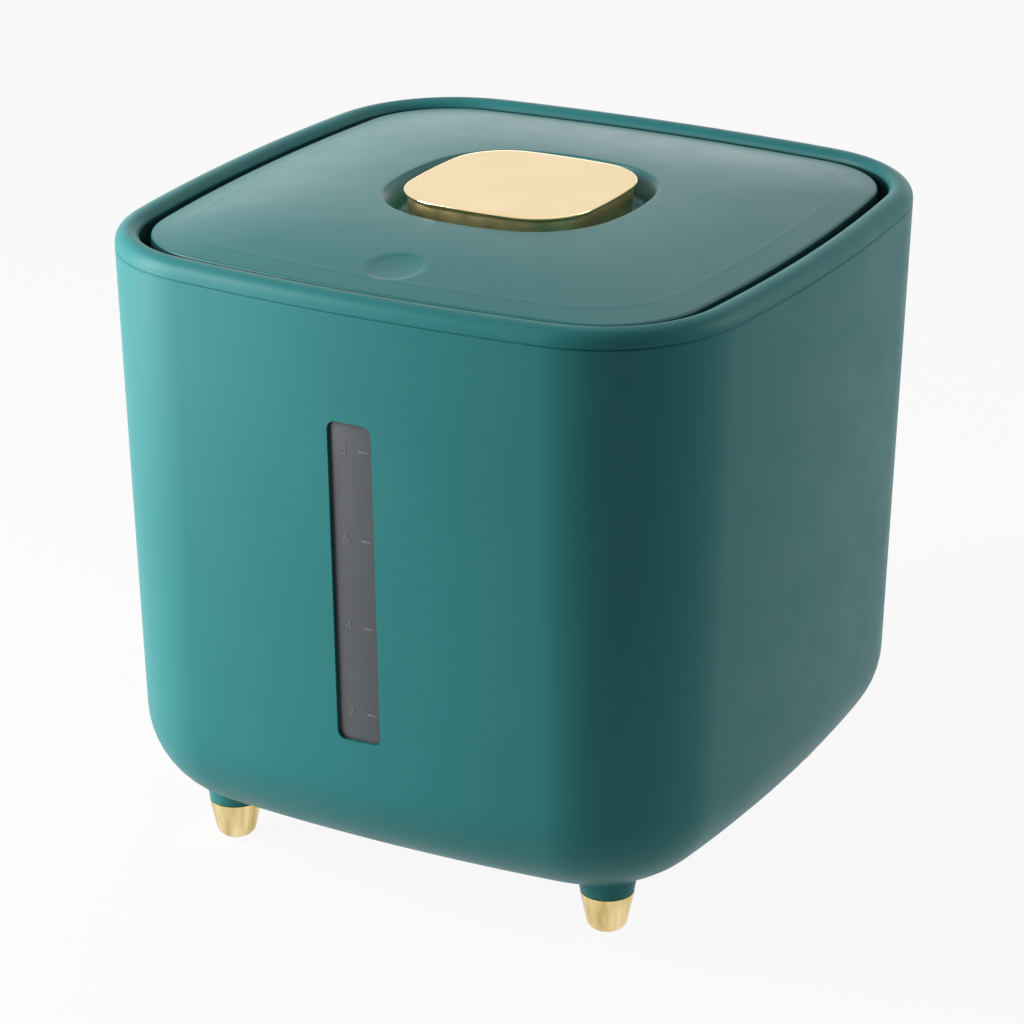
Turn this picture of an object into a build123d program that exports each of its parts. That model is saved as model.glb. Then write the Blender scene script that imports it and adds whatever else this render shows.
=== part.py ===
"""Rice container with a press-to-open lid, as an assembly of separate pieces.

Millimetres, +Z up, front face towards -Y, origin on the floor under the middle.
"""
import math
import os

from build123d import *

os.makedirs("parts", exist_ok=True)

# Body: a tapered tub with softly bowed sides
FOOT_HEIGHT = 19.0
BODY_HEIGHT = 220.0
SEAM_HALF = 128.1
SEAM_CORNER = 57.0
SEAM_SIDE = 750.0
DRAFT = 1.68
FLOOR_ROUND = 37.0
WALL = 2.6
SEAM_CHAMFER = 0.6

# Level window in the front wall
WINDOW_WIDTH = 18.0
WINDOW_HEIGHT = 125.0
WINDOW_DROP = 40.3
WINDOW_CORNER = 3.6
WINDOW_SET = 1.3
WINDOW_FLANGE = 5.0
WINDOW_THICK = 2.0
WINDOW_FIT = 0.15
BOND_GAP = 0.05

# Feet: a stub on the body with a cap pushed over its spigot
FOOT_INSET_X = 47.1
FOOT_INSET_Y = 45.7
FOOT_CAP_HEIGHT = 14.0
FOOT_CAP_TOP = 9.9
FOOT_CAP_BOTTOM = 7.2
FOOT_CAP_ROUND = 3.5
STUB_RADIUS = 10.8
STUB_ROOT = 8.0
SPIGOT_RADIUS = 4.5
SPIGOT_LENGTH = 9.0
SPIGOT_FIT = 0.05
SPIGOT_TIP = 0.4

# Lid outline and crown, heights above the seam
COLLAR_WIDTH = 10.0
LID_GAP = 4.2
LID_CORNER = 39.0
LID_SIDE = 735.0
LID_WALL = 2.4
LID_SKIRT_BASE = -3.2
CROWN_SHARES = (0.0, 0.0, 0.009, 0.03, 0.064, 0.114, 0.213, 0.327, 0.472, 0.639, 0.822, 1.0)
CROWN_HEIGHTS = (LID_SKIRT_BASE, 2.4, 3.9, 4.9, 5.6, 6.3, 7.35, 8.3, 9.25, 10.05, 10.75, 11.3)

# Hand recess and grip in the middle of the lid
RECESS_HALF = 48.2
RECESS_CORNER = 35.3
RECESS_SIDE = 95.0
RECESS_DEPTH = 10.0
RECESS_SLOPE = 3.6
FINGER_GAP = 8.4
GRIP_CORNER = 27.5
GRIP_SIDE = 160.0
GRIP_TOP = 13.8
GRIP_WALL = 2.2
GRIP_BEVEL = 1.2
GRIP_POST_AT = 20.0

# Press spot near the front edge
DISH_RADIUS = 12.5
DISH_DEPTH = 1.1
DISH_STATION = 7

# Collar ring between the body and the lid
COLLAR_RISE = 6.7
COLLAR_ROUND = 5.4
COLLAR_INNER_ROUND = 2.2
COLLAR_WALL = 2.4
LEDGE_DROP = 11.0
LEDGE_THICK = 2.5
LEDGE_INSET = 22.0
LEDGE_LIP = 5.0
TONGUE_FIT = 0.4
TONGUE_THICK = 1.8
TONGUE_DEPTH = 8.0

# Liner and seal under the lid
LINER_INSET = 1.0
LINER_THICK = 2.0
SEAL_INSET = 16.0
SEAL_WIDTH = 4.0
SEAL_BASE = 3.0
SEAL_LIP_WIDTH = 1.6
REST_GAP = 0.3

# Hinge at the rear edge
HINGE_X = 45.0
HINGE_INBOARD = 9.5
HINGE_HEIGHT = -0.2
EAR_RADIUS = 2.9
EAR_STEM = 5.0
EAR_THICK = 3.0
EAR_SPREAD = 8.0
HINGE_CUT = 13.0
NOTCH_TOP = 2.3
NOTCH_BACK = 3.9
LINER_NOTCH = 6.0
KNUCKLE_START = -7.6
KNUCKLE_WIDTH = 7.0
KNUCKLE_WEB = 5.0
PIN_RADIUS = 1.5
PIN_FIT = 0.05
PIN_OVERHANG = 1.0
COIL_RADIUS = 2.6
COIL_WIRE = 0.45
COIL_PITCH = 1.4
COIL_TURNS = 4.5
COIL_START = 0.4
COIL_LEG = 5.5

# Push latch under the front of the ledge
LATCH_INSET = 7.0
NECK_RADIUS = 3.5
NECK_FIT = 0.3
MAGNET_RADIUS = 2.5
MAGNET_HEIGHT = 2.0
PLUNGER_X = 12.0
PLUNGER_Y = 8.0
PLUNGER_TALL = 14.0
PLUNGER_BORE = 3.2
PLUNGER_BORE_DEPTH = 8.0
HOUSING_X = 18.0
HOUSING_Y = 13.0
HOUSING_TALL = 24.5
HOUSING_FLOOR = 2.0
FLANGE_X = 34.0
FLANGE_THICK = 3.0
LATCH_SCREW_X = 13.0
LATCH_BOSS = 3.0
LATCH_BOSS_TALL = 4.5
STRIKE_RADIUS = 5.0
STRIKE_THICK = 1.2
STRIKE_SUNK = 0.8
LATCH_COIL_RADIUS = 2.5
LATCH_COIL_WIRE = 0.35
LATCH_COIL_TURNS = 8

# Screws
SCREW_RADIUS = 1.3
SCREW_HEAD = 2.6
SCREW_HEAD_TALL = 1.7
SCREW_HOLE = 1.6
THREAD_FIT = 0.05
SCREW_SOCKET = 1.0
SCREW_SOCKET_DEPTH = 0.9
LID_SCREW_INSET = 41.9
LID_SCREW_BITE = 8.0
LID_BOSS = 4.0
LID_BOSS_TOP = 8.0
GRIP_SCREW_BITE = 7.0
GRIP_POST = 4.0

# Places that follow from the sizes above
SEAM_Z = FOOT_HEIGHT + BODY_HEIGHT
LID_HALF = SEAM_HALF - COLLAR_WIDTH - LID_GAP
CROWN_INSETS = [share * (LID_HALF - RECESS_HALF) for share in CROWN_SHARES]
GRIP_HALF = RECESS_HALF - FINGER_GAP
DISH_Y = CROWN_INSETS[DISH_STATION] - LID_HALF
FOOT_X = SEAM_HALF - FOOT_INSET_X
FOOT_Y = SEAM_HALF - FOOT_INSET_Y
LID_SCREW_AT = LID_HALF - LID_SCREW_INSET
LEDGE_TOP = SEAM_Z - LEDGE_DROP
LEDGE_UNDER = LEDGE_TOP - LEDGE_THICK
SKIRT_Z = SEAM_Z + LID_SKIRT_BASE
LINER_UNDER = SKIRT_Z - LINER_THICK
RECESS_Z = SEAM_Z + CROWN_HEIGHTS[-1] - RECESS_DEPTH
RECESS_UNDER = RECESS_Z - LID_WALL
AXIS_Y = LID_HALF - HINGE_INBOARD
AXIS_Z = SEAM_Z + HINGE_HEIGHT
LATCH_Y = LATCH_INSET - LID_HALF
STRIKE_UNDER = LINER_UNDER + STRIKE_SUNK - STRIKE_THICK
MAGNET_TOP = STRIKE_UNDER - REST_GAP
PLUNGER_TOP = LEDGE_UNDER - REST_GAP
PLUNGER_UNDER = PLUNGER_TOP - PLUNGER_TALL
HOUSING_UNDER = LEDGE_UNDER - HOUSING_TALL
WINDOW_Z = SEAM_Z - WINDOW_DROP - WINDOW_HEIGHT / 2
FOOT_PLACES = [(x, y) for y in (-FOOT_Y, FOOT_Y) for x in (-FOOT_X, FOOT_X)]
LID_SCREW_PLACES = [(x, y) for y in (-LID_SCREW_AT, LID_SCREW_AT) for x in (-LID_SCREW_AT, LID_SCREW_AT)]
GRIP_SCREW_PLACES = [(x, y) for y in (-GRIP_POST_AT, GRIP_POST_AT) for x in (-GRIP_POST_AT, GRIP_POST_AT)]
LATCH_SCREW_PLACES = [(-LATCH_SCREW_X, LATCH_Y), (LATCH_SCREW_X, LATCH_Y)]


def bowed_square(half, corner, side, mode=Mode.ADD):
    """Draw a square with bowed sides and round corners, all arcs tangent."""
    reach = side - half
    centre = (math.sqrt(2 * (side - corner) ** 2 - reach**2) - reach) / 2
    stretch = side / (side - corner)
    far = (centre + reach) * stretch - reach
    near = centre * stretch
    diagonal = centre + corner / math.sqrt(2)
    with BuildLine() as outline:
        for quarter in range(4):
            points = [(far, -near), (half, 0), (far, near), (diagonal, diagonal), (near, far)]
            turned = [Vector(*point).rotate(Axis.Z, 90 * quarter) for point in points]
            ThreePointArc(*turned[0:3])
            ThreePointArc(*turned[2:5])
    make_face(outline.edges(), mode=mode)


def body_outline(inset, mode=Mode.ADD):
    """Draw the seam outline of the body, moved inwards by an inset."""
    bowed_square(SEAM_HALF - inset, SEAM_CORNER - inset, SEAM_SIDE - inset, mode)


def lid_outline(inset, mode=Mode.ADD):
    """Draw the edge outline of the lid, moved inwards by an inset."""
    bowed_square(LID_HALF - inset, LID_CORNER - inset, LID_SIDE - inset, mode)


def tub_form(inset):
    """Make the solid tub shape, moved inwards by an inset."""
    base = FOOT_HEIGHT + inset
    shrink = (SEAM_Z - base) * math.tan(math.radians(DRAFT))
    with BuildPart() as form:
        with BuildSketch(Plane.XY.offset(base)):
            body_outline(inset + shrink)
        extrude(amount=SEAM_Z - base, taper=-DRAFT)
        fillet(form.faces().sort_by(Axis.Z)[0].edges(), FLOOR_ROUND - inset)
    return form.part


def front_patch(grow, outer_inset):
    """Cut the window's upright rounded rectangle out of the tub shape."""
    with BuildPart() as patch:
        with BuildSketch(Plane.XZ.offset(SEAM_HALF + WALL)):
            with Locations((0, WINDOW_Z)):
                RectangleRounded(WINDOW_WIDTH + 2 * grow, WINDOW_HEIGHT + 2 * grow, WINDOW_CORNER + grow)
        extrude(amount=-SEAM_HALF / 2)
        add(tub_form(outer_inset), mode=Mode.INTERSECT)
    return patch.part


def crown_form(wall):
    """Make the lid's skirt and crowned top, thinned by a wall for its hollow."""
    with BuildPart() as form:
        for inset, height in zip(CROWN_INSETS, CROWN_HEIGHTS):
            share = inset / CROWN_INSETS[-1]
            trim = wall * (1 - share)
            half = LID_HALF - inset - trim
            corner = LID_CORNER + (RECESS_CORNER - LID_CORNER) * share - trim
            side = LID_SIDE + (RECESS_SIDE - LID_SIDE) * share
            with BuildSketch(Plane.XY.offset(SEAM_Z + height - wall)):
                bowed_square(half, corner, side)
        loft(ruled=True)
    return form.part


def recess_form(wall, top):
    """Make the sloping hand recess, grown outwards by a wall, up to a height."""
    slope = RECESS_SLOPE / RECESS_DEPTH
    with BuildPart() as form:
        for level in (RECESS_Z - wall, top):
            spread = wall + (level - RECESS_Z - RECESS_DEPTH) * slope
            with BuildSketch(Plane.XY.offset(level)):
                bowed_square(RECESS_HALF + spread, RECESS_CORNER + spread, RECESS_SIDE + spread)
        loft(ruled=True)
    return form.part


def screw_set(places, seat, bite):
    """Make upright screws whose heads hang under a seat and bite upwards."""
    with BuildPart() as screws:
        with BuildSketch(Plane.XY.offset(seat - SCREW_HEAD_TALL)):
            with Locations(*places):
                Circle(SCREW_HEAD)
        extrude(amount=SCREW_HEAD_TALL)
        with BuildSketch(Plane.XY.offset(seat)):
            with Locations(*places):
                Circle(SCREW_RADIUS)
        extrude(amount=bite)
        with BuildSketch(Plane.XY.offset(seat - SCREW_HEAD_TALL)):
            with Locations(*places):
                RegularPolygon(SCREW_SOCKET, 6)
        extrude(amount=SCREW_SOCKET_DEPTH, mode=Mode.SUBTRACT)
    return screws.part


def hinge_side(x):
    """Give the sign that mirrors a hinge about the middle."""
    return 1 if x > 0 else -1


def coil_gap(pitch, wire):
    """Return the clear space between neighbouring turns of a coil."""
    return pitch - 2 * wire


# Body shell with its four stubs and the window slot
with BuildPart() as body_shell:
    add(tub_form(0))
    chamfer(body_shell.faces().sort_by(Axis.Z)[-1].edges(), SEAM_CHAMFER)
    with BuildSketch(Plane.XY.offset(FOOT_CAP_HEIGHT)):
        with Locations(*FOOT_PLACES):
            Circle(FOOT_CAP_TOP)
    stub_rise = FOOT_HEIGHT - FOOT_CAP_HEIGHT
    extrude(
        amount=stub_rise + STUB_ROOT,
        taper=-math.degrees(math.atan((STUB_RADIUS - FOOT_CAP_TOP) / stub_rise)),
    )
    with BuildSketch(Plane.XY.offset(FOOT_CAP_HEIGHT - SPIGOT_LENGTH)):
        with Locations(*FOOT_PLACES):
            Circle(SPIGOT_RADIUS)
    extrude(amount=SPIGOT_LENGTH)
    add(tub_form(WALL), mode=Mode.SUBTRACT)
    with BuildSketch(Plane.XZ.offset(SEAM_HALF + WALL)):
        with Locations((0, WINDOW_Z)):
            RectangleRounded(WINDOW_WIDTH, WINDOW_HEIGHT, WINDOW_CORNER)
    extrude(amount=-SEAM_HALF / 2, mode=Mode.SUBTRACT)
body_shell.part.label = "body_shell"
export_step(body_shell.part, "parts/body_shell.step")

# Level window: a pane in the slot and a flange bonded behind the wall
with BuildPart() as level_window:
    add(front_patch(-WINDOW_FIT, WINDOW_SET))
    add(front_patch(WINDOW_FLANGE, WALL + BOND_GAP))
    add(tub_form(WALL + WINDOW_THICK), mode=Mode.SUBTRACT)
level_window.part.label = "level_window"
export_step(level_window.part, "parts/level_window.step")

# Foot caps
foot_names = ("foot_front_left", "foot_front_right", "foot_rear_left", "foot_rear_right")
foot_taper = math.degrees(math.atan((FOOT_CAP_TOP - FOOT_CAP_BOTTOM) / FOOT_CAP_HEIGHT))
for foot_name, foot_place in zip(foot_names, FOOT_PLACES):
    with BuildPart() as foot_cap:
        with BuildSketch():
            with Locations(foot_place):
                Circle(FOOT_CAP_BOTTOM)
        extrude(amount=FOOT_CAP_HEIGHT, taper=-foot_taper)
        fillet(foot_cap.faces().sort_by(Axis.Z)[0].edges(), FOOT_CAP_ROUND)
        with BuildSketch(Plane.XY.offset(FOOT_CAP_HEIGHT)):
            with Locations(foot_place):
                Circle(SPIGOT_RADIUS + SPIGOT_FIT)
        extrude(amount=-SPIGOT_LENGTH - SPIGOT_TIP, mode=Mode.SUBTRACT)
    foot_cap.part.label = foot_name
    export_step(foot_cap.part, f"parts/{foot_name}.step")

# Collar ring: cap, channel, inner wall, ledge, tongue and hinge ears
with BuildPart() as collar_ring:
    with BuildSketch(Plane.XY.offset(SEAM_Z)):
        body_outline(0)
        lid_outline(-LID_GAP, Mode.SUBTRACT)
    extrude(amount=COLLAR_RISE)
    collar_top = collar_ring.faces().sort_by(Axis.Z)[-1]
    outer_edges = collar_top.outer_wire().edges()
    inner_edges = collar_top.inner_wires()[0].edges()
    fillet(outer_edges, COLLAR_ROUND)
    fillet(inner_edges, COLLAR_INNER_ROUND)
    chamfer(collar_ring.faces().sort_by(Axis.Z)[0].outer_wire().edges(), SEAM_CHAMFER)
    with BuildSketch(Plane.XY.offset(SEAM_Z)):
        body_outline(WALL)
        lid_outline(-LID_GAP - COLLAR_WALL, Mode.SUBTRACT)
    extrude(amount=COLLAR_RISE - COLLAR_WALL, mode=Mode.SUBTRACT)
    with BuildSketch(Plane.XY.offset(LEDGE_UNDER)):
        lid_outline(-LID_GAP - COLLAR_WALL)
        lid_outline(-LID_GAP, Mode.SUBTRACT)
    extrude(amount=SEAM_Z - LEDGE_UNDER)
    with BuildSketch(Plane.XY.offset(LEDGE_UNDER)):
        lid_outline(-LID_GAP - COLLAR_WALL)
        lid_outline(LEDGE_INSET, Mode.SUBTRACT)
    extrude(amount=LEDGE_THICK)
    with BuildSketch(Plane.XY.offset(LEDGE_UNDER)):
        lid_outline(LEDGE_INSET - COLLAR_WALL)
        lid_outline(LEDGE_INSET, Mode.SUBTRACT)
    extrude(amount=-LEDGE_LIP)
    with BuildSketch(Plane.XY.offset(SEAM_Z - TONGUE_DEPTH)):
        body_outline(WALL + TONGUE_FIT)
        body_outline(WALL + TONGUE_FIT + TONGUE_THICK, Mode.SUBTRACT)
    extrude(amount=TONGUE_DEPTH + COLLAR_RISE - COLLAR_WALL)
    for hinge_x in (-HINGE_X, HINGE_X):
        for ear_x in (hinge_x - EAR_SPREAD - EAR_THICK, hinge_x + EAR_SPREAD):
            with BuildSketch(Plane.YZ.offset(ear_x)):
                with Locations((AXIS_Y, AXIS_Z)):
                    Circle(EAR_RADIUS)
                with Locations((AXIS_Y, (AXIS_Z + LEDGE_UNDER) / 2)):
                    Rectangle(EAR_STEM, AXIS_Z - LEDGE_UNDER)
            extrude(amount=EAR_THICK)
        with BuildSketch(Plane.YZ.offset(hinge_x - HINGE_CUT)):
            with Locations((AXIS_Y, AXIS_Z)):
                Circle(PIN_RADIUS)
        extrude(amount=2 * HINGE_CUT, mode=Mode.SUBTRACT)
    with BuildSketch(Plane.XY.offset(LEDGE_TOP)):
        with Locations(*LATCH_SCREW_PLACES):
            Circle(LATCH_BOSS)
    extrude(amount=LATCH_BOSS_TALL)
    with BuildSketch(Plane.XY.offset(LEDGE_UNDER)):
        with Locations(*LATCH_SCREW_PLACES):
            Circle(SCREW_RADIUS + THREAD_FIT)
        with Locations((0, LATCH_Y)):
            Circle(NECK_RADIUS + NECK_FIT)
    extrude(amount=LEDGE_THICK + LATCH_BOSS_TALL, mode=Mode.SUBTRACT)
collar_ring.part.label = "collar_ring"
export_step(collar_ring.part, "parts/collar_ring.step")

# Lid shell: skirt, crown, hand recess, press spot, screw bosses and knuckles
with BuildPart() as lid_shell:
    add(crown_form(0))
    add(crown_form(LID_WALL), mode=Mode.SUBTRACT)
    add(recess_form(LID_WALL, RECESS_Z + RECESS_DEPTH - LID_WALL / 2))
    add(recess_form(0, RECESS_Z + RECESS_DEPTH + LID_WALL), mode=Mode.SUBTRACT)
    with BuildSketch(Plane.XY.offset(SKIRT_Z)):
        with Locations(*LID_SCREW_PLACES):
            Circle(LID_BOSS)
    extrude(amount=LID_BOSS_TOP - LID_SKIRT_BASE)
    with BuildSketch(Plane.XY.offset(SKIRT_Z)):
        with Locations(*LID_SCREW_PLACES):
            Circle(SCREW_RADIUS + THREAD_FIT)
    extrude(amount=LID_SCREW_BITE, mode=Mode.SUBTRACT)
    with BuildSketch(Plane.XY.offset(RECESS_UNDER)):
        with Locations(*GRIP_SCREW_PLACES):
            Circle(SCREW_HOLE)
    extrude(amount=LID_WALL, mode=Mode.SUBTRACT)
    for hinge_x in (-HINGE_X, HINGE_X):
        with Locations((hinge_x, AXIS_Y + NOTCH_BACK, SKIRT_Z)):
            Box(
                2 * HINGE_CUT,
                HINGE_INBOARD,
                NOTCH_TOP - LID_SKIRT_BASE,
                align=(Align.CENTER, Align.MIN, Align.MIN),
                mode=Mode.SUBTRACT,
            )
        knuckle_middle = KNUCKLE_START + KNUCKLE_WIDTH / 2
        knuckle_x = hinge_x + hinge_side(hinge_x) * knuckle_middle - KNUCKLE_WIDTH / 2
        with BuildSketch(Plane.YZ.offset(knuckle_x)):
            with Locations((AXIS_Y, AXIS_Z)):
                Circle(EAR_RADIUS)
            with Locations((AXIS_Y, (AXIS_Z + SEAM_Z + KNUCKLE_WEB) / 2)):
                Rectangle(2 * EAR_RADIUS, SEAM_Z + KNUCKLE_WEB - AXIS_Z)
        extrude(amount=KNUCKLE_WIDTH)
        with BuildSketch(Plane.YZ.offset(knuckle_x)):
            with Locations((AXIS_Y, AXIS_Z)):
                Circle(PIN_RADIUS + PIN_FIT)
        extrude(amount=KNUCKLE_WIDTH, mode=Mode.SUBTRACT)
    dish_ball = (DISH_RADIUS**2 + DISH_DEPTH**2) / (2 * DISH_DEPTH)
    dish_top = SEAM_Z + CROWN_HEIGHTS[DISH_STATION]
    with Locations((0, DISH_Y, dish_top - DISH_DEPTH + dish_ball)):
        Sphere(dish_ball, mode=Mode.SUBTRACT)
lid_shell.part.label = "lid_shell"
export_step(lid_shell.part, "parts/lid_shell.step")

# Liner panel that closes the lid from below
with BuildPart() as lid_liner:
    with BuildSketch(Plane.XY.offset(LINER_UNDER)):
        lid_outline(LINER_INSET)
        for hinge_x in (-HINGE_X, HINGE_X):
            with Locations((hinge_x, AXIS_Y - LINER_NOTCH)):
                Rectangle(
                    2 * HINGE_CUT,
                    HINGE_INBOARD + LINER_NOTCH,
                    align=(Align.CENTER, Align.MIN),
                    mode=Mode.SUBTRACT,
                )
        with Locations(*LID_SCREW_PLACES):
            Circle(SCREW_HOLE, mode=Mode.SUBTRACT)
    extrude(amount=LINER_THICK)
    with BuildSketch(Plane.XY.offset(LINER_UNDER)):
        with Locations((0, LATCH_Y)):
            Circle(STRIKE_RADIUS + SPIGOT_FIT)
    extrude(amount=STRIKE_SUNK, mode=Mode.SUBTRACT)
lid_liner.part.label = "lid_liner"
export_step(lid_liner.part, "parts/lid_liner.step")

# Soft seal under the liner, with a lip that meets the ledge
with BuildPart() as lid_seal:
    with BuildSketch(Plane.XY.offset(LINER_UNDER)):
        lid_outline(SEAL_INSET)
        lid_outline(SEAL_INSET + SEAL_WIDTH, Mode.SUBTRACT)
    extrude(amount=-SEAL_BASE)
    lip_inset = SEAL_INSET + (SEAL_WIDTH - SEAL_LIP_WIDTH) / 2
    with BuildSketch(Plane.XY.offset(LEDGE_TOP + REST_GAP)):
        lid_outline(lip_inset)
        lid_outline(lip_inset + SEAL_LIP_WIDTH, Mode.SUBTRACT)
    extrude(amount=LINER_UNDER - SEAL_BASE - LEDGE_TOP - REST_GAP)
lid_seal.part.label = "lid_seal"
export_step(lid_seal.part, "parts/lid_seal.step")

# Grip cap: a plated shell with four screw posts inside
with BuildPart() as grip_cap:
    with BuildSketch(Plane.XY.offset(RECESS_Z)):
        bowed_square(GRIP_HALF, GRIP_CORNER, GRIP_SIDE)
    extrude(amount=SEAM_Z + GRIP_TOP - RECESS_Z)
    chamfer(grip_cap.faces().sort_by(Axis.Z)[-1].edges(), GRIP_BEVEL)
    with BuildSketch(Plane.XY.offset(RECESS_Z)):
        bowed_square(GRIP_HALF - GRIP_WALL, GRIP_CORNER - GRIP_WALL, GRIP_SIDE - GRIP_WALL)
    extrude(amount=SEAM_Z + GRIP_TOP - RECESS_Z - GRIP_WALL, mode=Mode.SUBTRACT)
    with BuildSketch(Plane.XY.offset(RECESS_Z)):
        with Locations(*GRIP_SCREW_PLACES):
            Circle(GRIP_POST)
    extrude(amount=SEAM_Z + GRIP_TOP - RECESS_Z - GRIP_WALL)
    with BuildSketch(Plane.XY.offset(RECESS_Z)):
        with Locations(*GRIP_SCREW_PLACES):
            Circle(SCREW_RADIUS + THREAD_FIT)
    extrude(amount=GRIP_SCREW_BITE, mode=Mode.SUBTRACT)
grip_cap.part.label = "grip_cap"
export_step(grip_cap.part, "parts/grip_cap.step")

# Screws, one group for each joint
screw_groups = {
    "lid_screws": (LID_SCREW_PLACES, LINER_UNDER, LINER_THICK + LID_SCREW_BITE - REST_GAP),
    "grip_screws": (GRIP_SCREW_PLACES, RECESS_UNDER, LID_WALL + GRIP_SCREW_BITE - REST_GAP),
    "latch_screws": (LATCH_SCREW_PLACES, LEDGE_UNDER - FLANGE_THICK, FLANGE_THICK + LEDGE_THICK + LATCH_BOSS_TALL),
}
for screw_name, (screw_places, screw_seat, screw_bite) in screw_groups.items():
    screw_group = screw_set(screw_places, screw_seat, screw_bite)
    screw_group.label = screw_name
    export_step(screw_group, f"parts/{screw_name}.step")

# Hinge pins and their torsion springs
for hand, hinge_x in (("left", -HINGE_X), ("right", HINGE_X)):
    pin_reach = EAR_SPREAD + EAR_THICK + PIN_OVERHANG
    with BuildPart() as hinge_pin:
        with BuildSketch(Plane.YZ.offset(hinge_x - pin_reach)):
            with Locations((AXIS_Y, AXIS_Z)):
                Circle(PIN_RADIUS)
        extrude(amount=2 * pin_reach)
    hinge_pin.part.label = f"hinge_pin_{hand}"
    export_step(hinge_pin.part, f"parts/hinge_pin_{hand}.step")

    coil_length = COIL_PITCH * COIL_TURNS
    coil_x = hinge_x + hinge_side(hinge_x) * (COIL_START + coil_length / 2) - coil_length / 2
    with BuildPart() as hinge_spring:
        with BuildLine():
            coil_end = (coil_x + coil_length, AXIS_Y, AXIS_Z)
            Helix(COIL_PITCH, coil_length, COIL_RADIUS, coil_end, (-1, 0, 0), lefthand=True)
        coil_path = hinge_spring.pending_edges_as_wire
        with BuildSketch(Plane(coil_path @ 0, z_dir=coil_path % 0)):
            Circle(COIL_WIRE)
        sweep(path=coil_path)
        with BuildSketch(Plane(coil_path @ 0, z_dir=-(coil_path % 0))):
            Circle(COIL_WIRE)
        extrude(amount=COIL_LEG)
        with BuildSketch(Plane(coil_path @ 1, z_dir=coil_path % 1)):
            Circle(COIL_WIRE)
        extrude(amount=COIL_LEG)
    hinge_spring.part.label = f"hinge_spring_{hand}"
    export_step(hinge_spring.part, f"parts/hinge_spring_{hand}.step")
print("hinge spring gap between turns", coil_gap(COIL_PITCH, COIL_WIRE))

# Push latch: housing, plunger with its magnet, spring and strike plate
with BuildPart() as latch_housing:
    with BuildSketch(Plane.XY.offset(HOUSING_UNDER)):
        with Locations((0, LATCH_Y)):
            Rectangle(HOUSING_X, HOUSING_Y)
    extrude(amount=HOUSING_TALL)
    with BuildSketch(Plane.XY.offset(LEDGE_UNDER)):
        with Locations((0, LATCH_Y)):
            Rectangle(FLANGE_X, HOUSING_Y)
    extrude(amount=-FLANGE_THICK)
    with BuildSketch(Plane.XY.offset(LEDGE_UNDER)):
        with Locations((0, LATCH_Y)):
            Rectangle(PLUNGER_X + 2 * NECK_FIT, PLUNGER_Y + 2 * NECK_FIT)
    extrude(amount=HOUSING_FLOOR - HOUSING_TALL, mode=Mode.SUBTRACT)
    with BuildSketch(Plane.XY.offset(LEDGE_UNDER)):
        with Locations(*LATCH_SCREW_PLACES):
            Circle(SCREW_HOLE)
    extrude(amount=-FLANGE_THICK, mode=Mode.SUBTRACT)
latch_housing.part.label = "latch_housing"
export_step(latch_housing.part, "parts/latch_housing.step")

with BuildPart() as latch_plunger:
    with BuildSketch(Plane.XY.offset(PLUNGER_UNDER)):
        with Locations((0, LATCH_Y)):
            Rectangle(PLUNGER_X, PLUNGER_Y)
    extrude(amount=PLUNGER_TALL)
    with BuildSketch(Plane.XY.offset(PLUNGER_TOP)):
        with Locations((0, LATCH_Y)):
            Circle(NECK_RADIUS)
    extrude(amount=MAGNET_TOP - PLUNGER_TOP)
    with BuildSketch(Plane.XY.offset(MAGNET_TOP)):
        with Locations((0, LATCH_Y)):
            Circle(MAGNET_RADIUS + SPIGOT_FIT)
    extrude(amount=-MAGNET_HEIGHT, mode=Mode.SUBTRACT)
    with BuildSketch(Plane.XY.offset(PLUNGER_UNDER)):
        with Locations((0, LATCH_Y)):
            Circle(PLUNGER_BORE)
    extrude(amount=PLUNGER_BORE_DEPTH, mode=Mode.SUBTRACT)
latch_plunger.part.label = "latch_plunger"
export_step(latch_plunger.part, "parts/latch_plunger.step")

with BuildPart() as latch_magnet:
    with BuildSketch(Plane.XY.offset(MAGNET_TOP)):
        with Locations((0, LATCH_Y)):
            Circle(MAGNET_RADIUS)
    extrude(amount=-MAGNET_HEIGHT)
latch_magnet.part.label = "latch_magnet"
export_step(latch_magnet.part, "parts/latch_magnet.step")

latch_coil_base = HOUSING_UNDER + HOUSING_FLOOR + LATCH_COIL_WIRE
latch_coil_top = PLUNGER_UNDER + PLUNGER_BORE_DEPTH - LATCH_COIL_WIRE
latch_coil_pitch = (latch_coil_top - latch_coil_base) / LATCH_COIL_TURNS
with BuildPart() as latch_spring:
    with BuildLine():
        Helix(
            latch_coil_pitch,
            latch_coil_top - latch_coil_base,
            LATCH_COIL_RADIUS,
            center=(0, LATCH_Y, latch_coil_base),
        )
    latch_path = latch_spring.pending_edges_as_wire
    with BuildSketch(Plane(latch_path @ 0, z_dir=latch_path % 0)):
        Circle(LATCH_COIL_WIRE)
    sweep(path=latch_path)
latch_spring.part.label = "latch_spring"
export_step(latch_spring.part, "parts/latch_spring.step")
print("latch spring gap between turns", coil_gap(latch_coil_pitch, LATCH_COIL_WIRE))

with BuildPart() as strike_plate:
    with BuildSketch(Plane.XY.offset(STRIKE_UNDER)):
        with Locations((0, LATCH_Y)):
            Circle(STRIKE_RADIUS)
    extrude(amount=STRIKE_THICK)
strike_plate.part.label = "strike_plate"
export_step(strike_plate.part, "parts/strike_plate.step")
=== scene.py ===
"""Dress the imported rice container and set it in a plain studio, in metres and radians."""
import logging
import math
from dataclasses import dataclass
from enum import Enum
from typing import Iterable, Sequence

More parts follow.
